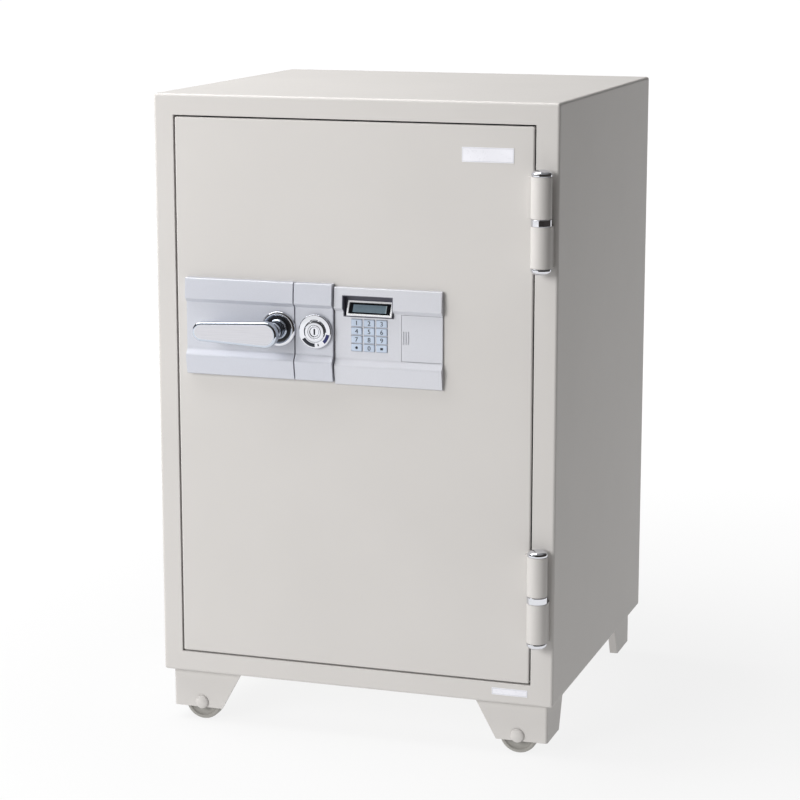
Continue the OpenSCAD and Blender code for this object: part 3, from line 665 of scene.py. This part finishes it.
def lever():
    """Chrome paddle with rounded edges, its satin face and the waisted hub."""
    back = [(2.5 - i, 38.0 + d) for i, d in ((0, 0), (0.9, 0.15), (1.8, 0.7), (2.35, 1.6), (2.5, 2.5))]
    body = back + quarter(3.6, 3.0, 48.8)
    make_piece(lofted(body), "lever_paddle", "lever", "lever_chrome", ["lever_handle"])
    make_piece(lofted([(3.8, 51.6), (3.8, 51.9), (3.9, 52.0)]), "lever_face", "lever", "lever_chrome",
               material=SATIN_FACE)
    hub = [(0, 10.5), (13.6, 10.5), (13.9, 10.8), (13.9, 13.6), (13.5, 14.1), (12.9, 14.3), (12.8, 15.4),
           (12.4, 15.6), (11.9, 16.2), (11.9, 21.0), (11.4, 21.6), (11.2, 26.0), (11.5, 30.0), (12.6, 38.6),
           (0, 38.6)]
    make_piece(lathe(hub, SPINDLE, (0, -1, 0), 96), "lever_hub", "lever", "lever_chrome")


# ------------------------------------------------------------------ display and keys

TILT = math.radians(27)
SCREEN_SIZE = (65.0, 21.6)      # of the bright frame, in millimetres
SCREEN_DROP = 1.2               # its middle sits that much below the CAD frame's, along the screen


def screen_space():
    """Matrix from millimetres on the tilted screen (X right, Y up, Z at the reader) to the row frame."""
    lo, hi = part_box("display_frame")
    middle = Vector(((lo.x + hi.x) / 2, out(4.2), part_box("key_2")[1].z + 0.0159))
    return Matrix.Translation(middle) @ Matrix.Rotation(math.pi / 2 - TILT, 4, "X") @ Matrix.Scale(MM, 4) \
        @ Matrix.Translation((0, -SCREEN_DROP, 0))


def on_screen(bm):
    bmesh.ops.transform(bm, matrix=screen_space(), verts=bm.verts)
    return bm


def screen_ring(outer, inner, depth, soft):
    """A rectangular ring on the screen; outer and inner are (left, right, bottom, top)."""
    bm = bmesh.new()
    loops = [[bm.verts.new((x, y, z)) for x, y in ((r[0], r[2]), (r[1], r[2]), (r[1], r[3]), (r[0], r[3]))]
             for r, z in ((outer, depth[0]), (outer, depth[1]), (inner, depth[1]), (inner, depth[0]))]
    for i in range(4):
        loop_faces(bm, loops[i], loops[(i + 1) % 4])
    bevel(bm, list(bm.edges), soft, 3)
    return bm


def flat_box(width, height, depth, soft=0.3, centre=(0.0, 0.0)):
    x, y = centre
    lo, hi = (x - width / 2, y - height / 2, depth[0]), (x + width / 2, y + height / 2, depth[1])
    return rounded_box(lo, hi, soft, 2)


def display():
    """Frame, bezel, liquid-crystal panel and window of the tilted screen."""
    w, h = SCREEN_SIZE
    half = (-w / 2, w / 2, -h / 2, h / 2)
    inner = (-w / 2 + 2.5, w / 2 - 2.5, -h / 2 + 2.5, h / 2 - 2.5)
    make_piece(on_screen(screen_ring(half, inner, (-2.0, 1.0), 0.4)), "screen_frame", "door", "chrome",
               ["display_frame"], TRIM_FACE)
    make_piece(on_screen(flat_box(w - 5, h - 5, (-7.0, -0.8))), "screen_bezel", "door", "black",
               ["display_body"], BEZEL_FACE)
    make_piece(on_screen(flat_box(47, 11, (-0.85, -0.62), 0.05, (-1.0, 0.0))), "lcd_panel", "door", "window",
               material=LCD_FACE)
    make_piece(on_screen(flat_box(1.3, 11, (-0.85, -0.6), 0.05, (23.2, 0.0))), "lcd_end", "door", "window",
               material=LCD_STRIP)
    make_piece(on_screen(flat_box(w - 5, h - 5, (-0.5, 0.4), 0.2)), "screen_glass", "door", "window",
               ["display_window"])


def display_tray():
    """Dark tray round the screen; its rim follows the housing's face."""
    left, right, bottom, top = tray_rect()
    lip, floor_out, under = 1.1, -3.4, -4.0
    rim = [(o - 0.25, z) for o, z in panel_outline(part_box("keypad_housing")[0].z, HOUSING_DROP)]
    outline = [(under, bottom)]
    for (o1, z1), (o2, z2) in zip(rim, rim[1:]):
        for edge in (bottom, top):
            if z1 < edge < z2:
                outline.append((o1 + (o2 - o1) * (edge - z1) / (z2 - z1), edge))
        if bottom < z2 < top:
            outline.append((o2, z2))
    outline.append((under, top))
    bar = profile_bar(left + 0.00005, right - 0.00005, outline, 0)
    hole = add_box(bmesh.new(), (left + lip * MM, out(14), bottom + lip * MM),
                   (right - lip * MM, out(floor_out), top - lip * MM))
    make_piece(sharpen(cut(bar, hole)), "screen_tray", "door", "black", material=TRAY_FACE)


BOLD = 0.13             # half the sideways shift between a digit's two strokes


def digit(text, height):
    """A character as a flat mesh in millimetres, centred on the origin and drawn twice for weight."""
    curve = bpy.data.curves.new("scratch", "FONT")
    curve.body = text
    curve.size = height / 0.7
    curve.extrude = 0.05
    obj = bpy.data.objects.new("scratch", curve)
    bpy.context.scene.collection.objects.link(obj)
    bm = bmesh.new()
    bm.from_mesh(obj.evaluated_get(bpy.context.evaluated_depsgraph_get()).to_mesh())
    bpy.data.objects.remove(obj)
    bpy.data.curves.remove(curve)
    bmesh.ops.remove_doubles(bm, verts=bm.verts, dist=1e-4)
    low = [min(v.co[i] for v in bm.verts) for i in range(2)]
    high = [max(v.co[i] for v in bm.verts) for i in range(2)]
    bmesh.ops.translate(bm, verts=bm.verts, vec=(-(low[0] + high[0]) / 2 - BOLD, -(low[1] + high[1]) / 2, 0))
    twin = bm.copy()
    bmesh.ops.translate(twin, verts=twin.verts, vec=(2 * BOLD, 0, 0.004))
    return sharpen(joined(bm, twin))


def mark(key):
    """The print on a key: a digit, or a dot or a square on the two keys beside the nought."""
    ink = 0.05
    if key == "star":
        return lathe([(0, -ink), (1.9, -ink), (1.9, ink), (0, ink)], Vector(), (0, 0, 1), 32)
    square = key == "hash"
    bm = add_box(bmesh.new(), (-2.0, -1.6, -ink), (2.0, 1.6, ink)) if square else digit(key, 6.3)
    bmesh.ops.scale(bm, vec=(MM, MM, MM), verts=bm.verts)
    return bm


def keys():
    """Twelve keys with their stop flanges, stems and prints."""
    for key in KEY_NAMES:
        node = "key_" + key
        body = "button_" + key
        lo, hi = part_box(node)
        x, z = (lo.x + hi.x) / 2, (lo.z + hi.z) / 2
        cap_lo, cap_hi = lo + KEY_FLANGE, hi - KEY_FLANGE
        cap = rounded_box(cap_lo, (cap_hi.x, out(-0.3), cap_hi.z), 1.1 * MM, 4)
        flange = add_box(bmesh.new(), (lo.x, out(-0.3), lo.z), (hi.x, out(-1.3), hi.z))
        stem = rod(x, z, -4.3, -1.2, 2.4)
        make_piece(sharpen(joined(cap, flange, stem)), "keycap_" + key, body, "keys", [node])
        print_mesh = mark(key)
        place = Matrix.Translation((x, lo.y - 0.00002, z)) @ Matrix.Rotation(math.pi / 2, 4, "X")
        bmesh.ops.transform(print_mesh, matrix=place, verts=print_mesh.verts)
        make_piece(print_mesh, "print_" + key, body, "black", material=DARK_INK_AND_SHADE)


def battery_hatch():
    """Sliding cover with finger grooves at its left end."""
    lo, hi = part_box("battery_cover")
    cover = rounded_box(lo, hi, 0.5 * MM, 3)
    tool = bmesh.new()
    middle = (lo.z + hi.z) / 2
    first, pitch, width = 2.6, 3.5, 1.4
    for i in range(3):
        x = lo.x + (first + pitch * i) * MM
        add_box(tool, (x, out(4), middle - 0.0085), (x + width * MM, out(1.8), middle + 0.0095))
    make_piece(sharpen(cut(cover, tool)), "battery_hatch_cover", "battery_hatch", "housing",
               ["battery_cover"])


# ------------------------------------------------------------------ hinges, castors, labels

def hinges():
    """Knuckles, collars, caps and pins; each piece holds those of both hinges."""
    ring_lo, ring_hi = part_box("hinge_rings")
    axis = Vector(((ring_lo.x + ring_hi.x) / 2, (ring_lo.y + ring_hi.y) / 2, 0))
    ring_length, knuckle_length, radius, pin, play = 9.8, 56.0, 14.0, 6.0, 0.2
    pin_length = 2 * knuckle_length + ring_length - 2
    bottoms = (ring_lo.z, ring_hi.z - (ring_length - play) * MM)

    def stacked(profile, z, flip=1):
        return lathe(profile, Vector((axis.x, axis.y, z)), (0, 0, flip), 96)

    def knuckle(bore):
        return [(bore, 0.2), (radius - 0.8, 0), (radius, 0.8), (radius, knuckle_length - 0.8),
                (radius - 0.8, knuckle_length), (bore, knuckle_length - 0.2)]

    ring_top = ring_length - play
    ring = [(pin, 0), (radius - 0.9, 0), (radius - 0.25, 0.25), (radius, 0.9), (radius, ring_top - 0.9),
            (radius - 0.25, ring_top - 0.25), (radius - 0.9, ring_top), (pin, ring_top)]
    cap = [(0, 0), (radius - 0.6, 0), (radius, 0.6)] + dome(radius, 2.4, 7.0, 10)
    shaft = [(0, 0), (pin, 0), (pin, pin_length), (0, pin_length)]
    door_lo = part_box("door_knuckles")[0]
    frame_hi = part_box("frame_knuckles")[1]
    door_side, body_side, caps, pins, rings = [], [], [], [], []
    for z in bottoms:
        upper = z + ring_length * MM
        lower = z - knuckle_length * MM
        upper_end, lower_end = upper + knuckle_length * MM, lower + knuckle_length * MM
        door_side += [stacked(knuckle(pin + 0.06), upper),
                      rounded_box((door_lo.x, axis.y, upper), (axis.x - 0.0135, FRONT, upper_end), 0.0006)]
        body_side += [stacked(knuckle(pin), lower),
                      rounded_box((axis.x, axis.y, lower), (frame_hi.x, FRONT, lower_end), 0.0006)]
        rings.append(stacked(ring, z))
        caps.append(stacked(cap, upper_end))
        pins += [stacked(shaft, lower), stacked(cap, lower, -1)]
    make_piece(joined(*door_side), "hinge_knuckles_door", "door", "paint", ["door_knuckles"])
    make_piece(joined(*body_side), "hinge_knuckles_body", "body", "paint", ["frame_knuckles"])
    make_piece(joined(*rings), "hinge_collars", "body", "chrome", ["hinge_rings"])
    make_piece(joined(*caps), "hinge_upper_caps", "door", "chrome", ["hinge_top_caps"])
    make_piece(joined(*pins), "hinge_pin_set", "body", "chrome", ["hinge_pins"])


CASTORS = ("front_left", "front_right", "rear_left", "rear_right")


def wheels():
    """Castor wheels with rounded treads and dished sides."""
    tread, width, shoulder = 27.5, 18.0, 3
    dish = [(4.06, 0), (8.6, 0), (9.2, 0.5), (10, 3), (tread - 6.4, 3), (tread - 5.4, 0.5), (tread - 4.8, 0)]
    side = dish + [(tread - shoulder + shoulder * math.sin(a), shoulder - shoulder * math.cos(a))
                   for a in quarter_turn(5)]
    profile = side + [(radius, width - height) for radius, height in reversed(side)]
    for name in CASTORS:
        lo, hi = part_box("wheel_" + name)
        centre = Vector(((lo.x + hi.x) / 2, hi.y, (lo.z + hi.z) / 2))
        make_piece(lathe(profile, centre, (0, -1, 0), 96), "castor_wheel_" + name, "castor_" + name, "wheel",
                   ["wheel_" + name])


def feet():
    """Folded steel feet: rounded at the corner, sloped at the free edges, with a tab behind each castor."""
    lo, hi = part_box("feet")
    body_lo, body_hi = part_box("outer_casing")
    plate, tab_half, tab_drop, tab_gap, height, soft = 0.004, 0.013, 0.009, 0.0015, 0.0565, 0.0006
    bottom, top = body_lo.z - height, body_lo.z
    parts = []
    for name, inset, wide, deep, flange in (("front", 0.010, (0.074, 0.105), (0.065, 0.087), 0.0),
                                            ("rear", 0.013, (0.103, 0.134), (0.073, 0.098), 0.012)):
        for side in (-1, 1):
            wheel_lo, wheel_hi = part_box("wheel_" + name + ("_left" if side < 0 else "_right"))
            inward = 1 if name == "front" else -1
            corner = Vector((body_hi.x - inset if side > 0 else body_lo.x + inset,
                             lo.y if inward > 0 else hi.y))
            folded = bmesh.new()
            loops = []
            for z, w, d in ((bottom, wide[0], deep[0]), (top, wide[1], deep[1])):
                path = [(w, 0, 0), (0, 0, 0.004), (0, d, 0.0025 if flange else 0)]
                path += [(flange, d, 0), (flange, d - plate, 0)] if flange else []
                path += [(plate, d - plate if flange else d, 0), (plate, plate, 0), (w, plate, 0)]
                loops.append([folded.verts.new((corner.x - side * u, corner.y + inward * v, z))
                              for u, v in rounded(path)])
            loop_faces(folded, *loops)
            for loop in loops:
                folded.faces.new(loop)
            middle = (wheel_lo.x + wheel_hi.x) / 2
            tab_near = (wheel_hi.y if inward > 0 else wheel_lo.y) + inward * tab_gap
            tab_far = tab_near + inward * plate
            axle_z = (wheel_lo.z + wheel_hi.z) / 2
            tab = rounded_box((middle - tab_half, min(tab_near, tab_far), axle_z - tab_drop),
                              (middle + tab_half, max(tab_near, tab_far), top), soft)
            across = sorted((corner.x - side * plate, corner.x - side * wide[1]))
            along = sorted((corner.y + inward * plate, corner.y + inward * deep[1]))
            roof = rounded_box((across[0], along[0], top - plate), (across[1], along[1], top), soft)
            parts += [folded, tab, roof]
    make_piece(sharpen(joined(*parts)), "folded_feet", "body", "paint", ["feet"])


def axles():
    """Pins of the castors with domed heads on the feet's front plates."""
    lo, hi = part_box("castor_axles")
    shaft, head, length, gap = 4.0, 10.0, 31.5, 0.0055
    profile = [(0, -length), (shaft, -length), (shaft, 0), (head, 0)] + dome(head, 0.8, 4.6, 8)
    parts = []
    for name in CASTORS:
        wheel_lo, wheel_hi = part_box("wheel_" + name)
        toward = -1 if name.startswith("front") else 1
        face = (wheel_lo.y - gap) if toward < 0 else (wheel_hi.y + gap)
        centre = Vector(((wheel_lo.x + wheel_hi.x) / 2, face, (lo.z + hi.z) / 2))
        parts.append(lathe(profile, centre, (0, toward, 0), 64))
    make_piece(joined(*parts), "castor_pins", "body", "paint", ["castor_axles"])


def labels():
    """Blank labels: a plate with a fine printed border."""
    for node, body in (("door_label", "door"), ("rating_label", "body")):
        lo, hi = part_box(node)
        make_piece(rounded_box(lo, hi, 0.12 * MM, 2), node + "_plate", body, "label", [node])
        border = bmesh.new()
        loops = [rect_loop(border, rect_of(lo, hi, -inset * MM), y)
                 for inset, y in ((1.0, lo.y), (1.0, lo.y - 0.00004), (1.35, lo.y - 0.00004), (1.35, lo.y))]
        for i in range(4):
            loop_faces(border, loops[i], loops[(i + 1) % 4])
        make_piece(sharpen(border), node + "_border", body, "label", material=GREY_PRINT_AND_SHADE)


# ------------------------------------------------------------------ stage, light, camera

def paint_cad_nodes():
    """Gives every CAD node the material of its slot and softens those that show."""
    for row in frame["record"]["subparts"]:
        obj = NODES[row["node"]]
        for holder in obj.material_slots:
            holder.material = MATERIALS[row["material_slot"]]
        if not obj.material_slots:
            obj.data.materials.append(MATERIALS[row["material_slot"]])
    for node, width in (("shelves", 0.4), ("inner_liner", 0.5), ("front_frame", 0.5),
                        ("door_back_cover", 0.5), ("fixed_bolts", 0.8), ("bolt_keepers", 0.5),
                        ("battery_holder", 0.3), ("shelf_pins", 0.4), ("cover_screws", 0.25)):
        soften_cad(node, width)


def floor():
    """Pale floor that glows enough to read as white paper."""
    bm = bmesh.new()
    bmesh.ops.create_grid(bm, x_segments=1, y_segments=1, size=40.0)
    mesh = bpy.data.meshes.new("floor")
    bm.to_mesh(mesh)
    bm.free()
    ground = bpy.data.objects.new("floor", mesh)
    bpy.context.scene.collection.objects.link(ground)
    s = Shader("floor_paper", 0.9, Specular_IOR_Level=0.1, Emission_Strength=1.0)
    s.feed("Base Color", s.ramp(s.noise(0.6, 2.0), [(0.3, (0.08, 0.08, 0.08)), (0.7, (0.085, 0.085, 0.085))]))
    distance = s.nodes.new("ShaderNodeVectorMath")
    distance.operation = "LENGTH"
    s.links.new(s.stretch((0.2, 0.2, 0.2)), distance.inputs[0])
    glow = s.ramp(distance.outputs["Value"], [(0.1, (0.85, 0.85, 0.85)), (0.45, (1.0, 1.0, 1.0))])
    s.feed("Emission Color", glow)
    mesh.materials.append(s.material)


def dark_card():
    """Curved dark wall to the right of the camera: it dims the right side and gives the chrome its bands."""
    bm = bmesh.new()
    radius, low, high, steps = 1.95, 0.01, 2.2, 24
    rows = [[bm.verts.new((radius * math.sin(a), -radius * math.cos(a), z)) for z in (low, high)]
            for a in (math.radians(-4 + 130 * k / steps) for k in range(steps + 1))]
    for first, second in zip(rows, rows[1:]):
        bm.faces.new([first[0], second[0], second[1], first[1]])
    mesh = bpy.data.meshes.new("dark_card")
    bm.to_mesh(mesh)
    bm.free()
    card = bpy.data.objects.new("dark_card", mesh)
    bpy.context.scene.collection.objects.link(card)
    card.visible_camera = False
    card.visible_shadow = False
    s = Shader("card_cloth", 0.9, Specular_IOR_Level=0.0)
    s.feed("Base Color", s.ramp(s.noise(3.0), [(0.3, (0.034, 0.030, 0.028)), (0.7, (0.038, 0.034, 0.032))]))
    mesh.materials.append(s.material)


def area_light(name, place, target, size, power, mirrored=True):
    """A soft light; one that isn't mirrored leaves no reflection of itself in the metal."""
    light = bpy.data.lights.new(name, "AREA")
    light.shape = "RECTANGLE"
    light.size, light.size_y = size
    light.energy = power
    obj = bpy.data.objects.new(name, light)
    bpy.context.scene.collection.objects.link(obj)
    obj.visible_glossy = mirrored
    obj.location = place
    obj.rotation_euler = (Vector(target) - Vector(place)).to_track_quat("-Z", "Y").to_euler()


def world():
    """Soft studio surround: pale low down, greyer overhead, with a darker band in between."""
    background = bpy.data.worlds.new("studio")
    bpy.context.scene.world = background
    background.use_nodes = True
    nodes, links = background.node_tree.nodes, background.node_tree.links
    place = nodes.new("ShaderNodeTexCoord")
    split = nodes.new("ShaderNodeSeparateXYZ")
    ramp = nodes.new("ShaderNodeValToRGB")
    links.new(place.outputs["Generated"], split.inputs["Vector"])
    links.new(split.outputs["Z"], ramp.inputs["Fac"])
    stops = [(0.0, 1.0), (0.015, 1.0), (0.06, 0.18), (0.35, 0.06), (0.7, 0.2), (1.0, 0.3)]
    elements = ramp.color_ramp.elements
    while len(elements) < len(stops):
        elements.new(0.5)
    for element, (position, level) in zip(elements, stops):
        element.position = position
        element.color = (level, level, level, 1.0)
    links.new(ramp.outputs["Color"], nodes["Background"].inputs["Color"])
    nodes["Background"].inputs["Strength"].default_value = 1.0


def camera():
    """The photograph's viewpoint, from the right of the front and a little above."""
    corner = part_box("outer_casing")[0]
    from_corner = Vector((1376.3, -3102.9, 1079.8))
    yaw, pitch = math.radians(-18.15), math.radians(11.43)
    lens = bpy.data.cameras.new("camera")
    lens.lens = 109.39
    lens.sensor_width = 36.0
    obj = bpy.data.objects.new("camera", lens)
    bpy.context.scene.collection.objects.link(obj)
    obj.location = corner + from_corner * MM
    forward = Vector((math.sin(yaw) * math.cos(pitch), math.cos(yaw) * math.cos(pitch), -math.sin(pitch)))
    obj.rotation_euler = forward.to_track_quat("-Z", "Y").to_euler()
    bpy.context.scene.camera = obj


def lights():
    """A soft key light from the front left and a soft light overhead."""
    middle = (0.0, 0.0, 0.45)
    area_light("key", (-2.4, -4.5, 2.2), middle, (2.6, 2.2), 208.0, mirrored=False)
    area_light("top", (-1.4, -0.2, 3.0), middle, (2.2, 3.0), 118.0)


paint_cad_nodes()
body_shell()
door_panel()
# painted shade in the door's hinge-side and top gaps
gap_shade_strips()
plates()
keypad_shell()
rose()
escutcheon()
key_plug()
lever()
display()
display_tray()
keys()
battery_hatch()
hinges()
wheels()
feet()
axles()
labels()
floor()
dark_card()
world()
lights()
camera()
bpy.context.scene.view_settings.view_transform = "Standard"

bpy.context.view_layer.update()
